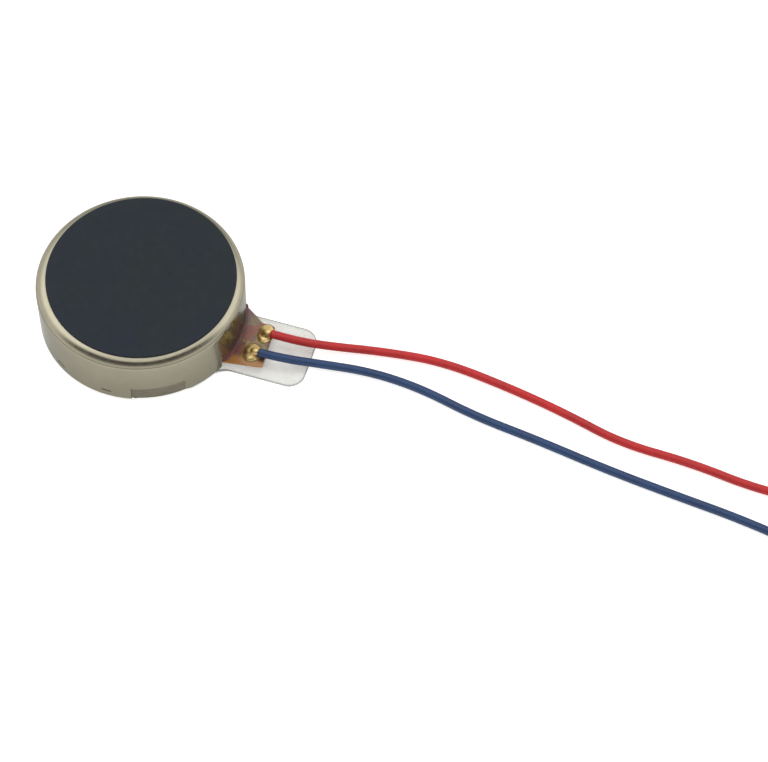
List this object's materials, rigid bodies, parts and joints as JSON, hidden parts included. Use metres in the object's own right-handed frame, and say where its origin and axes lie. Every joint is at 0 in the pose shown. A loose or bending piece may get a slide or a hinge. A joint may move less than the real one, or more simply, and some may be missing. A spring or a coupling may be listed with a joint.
{
  "type": "coin vibration motor",
  "caption": "Flat round vibration motor in a drawn metal case with a black top pad, a flexible circuit tab, red and blue leads and an adhesive base on a clear liner.",
  "frame": {"origin": "centre of the release liner's underside, on the shaft's axis", "axes": "+Z along the shaft, away from the mounting face; +X along the tab that the leads leave by"},
  "size_m": [0.0436, 0.01, 0.0033],
  "materials": {
    "case_nickel": "nickel plated, bright drawn",
    "plate_steel": "nickel plated, satin",
    "shaft_steel": "ground and polished",
    "magnet_nickel": "sintered, nickel plated",
    "weld_steel": "spot weld, heat tinted",
    "polyimide": "amber polyimide film",
    "coverlay": "amber polyimide cover film",
    "gold_on_copper": "gold flashed copper",
    "brush_alloy": "spring alloy, gold coloured",
    "solder": "reflowed tin solder",
    "red_insulation": "soft PVC, satin",
    "blue_insulation": "soft PVC, satin",
    "tinned_copper": "stranded copper, tinned",
    "amber_adhesive": "cured amber adhesive",
    "black_pad": "black, fine matt",
    "adhesive_tape": "double-sided tape, milky",
    "liner_film": "clear polyester film",
    "board_laminate": "green epoxy laminate",
    "enamelled_copper": "self-bonding enamelled wire",
    "tungsten": "sintered tungsten alloy",
    "moulded_resin": "black moulded resin",
    "sintered_bronze": "oil-filled sintered bronze",
    "washer_film": "white polyester washer"
  },
  "bodies": {
    "housing": {"case_cup": "case_nickel", "base_plate": "plate_steel", "shaft": "shaft_steel", "ring_magnet": "magnet_nickel", "seam_welds": "weld_steel", "flex_base_film": "polyimide", "flex_trace_positive": "gold_on_copper", "flex_trace_negative": "gold_on_copper", "flex_coverlay": "coverlay", "brush_positive": "brush_alloy", "brush_negative": "brush_alloy", "brush_solder_joints": "solder", "solder_joint_red": "solder", "solder_joint_blue": "solder", "lead_red": "red_insulation", "lead_blue": "blue_insulation", "lead_core_red": "tinned_copper", "lead_core_blue": "tinned_copper", "tinned_tip_red": "tinned_copper", "tinned_tip_blue": "tinned_copper", "exit_sealant": "amber_adhesive", "top_pad": "black_pad", "adhesive_disc": "adhesive_tape", "release_liner": "liner_film"},
    "rotor": {"rotor_board": "board_laminate", "commutator_segments": "gold_on_copper", "coil_left": "enamelled_copper", "coil_right": "enamelled_copper", "counterweight": "tungsten", "rotor_resin": "moulded_resin", "rotor_bearing": "sintered_bronze", "lower_washer": "washer_film", "upper_washer": "washer_film", "coil_solder_joints": "solder"}
  },
  "joints": [
    {"name": "rotor_spin", "type": "hinge", "parent": "housing", "child": "rotor", "pos_m": [0, 0, 0], "axis": [0, 0, 1], "continuous": true}
  ]
}
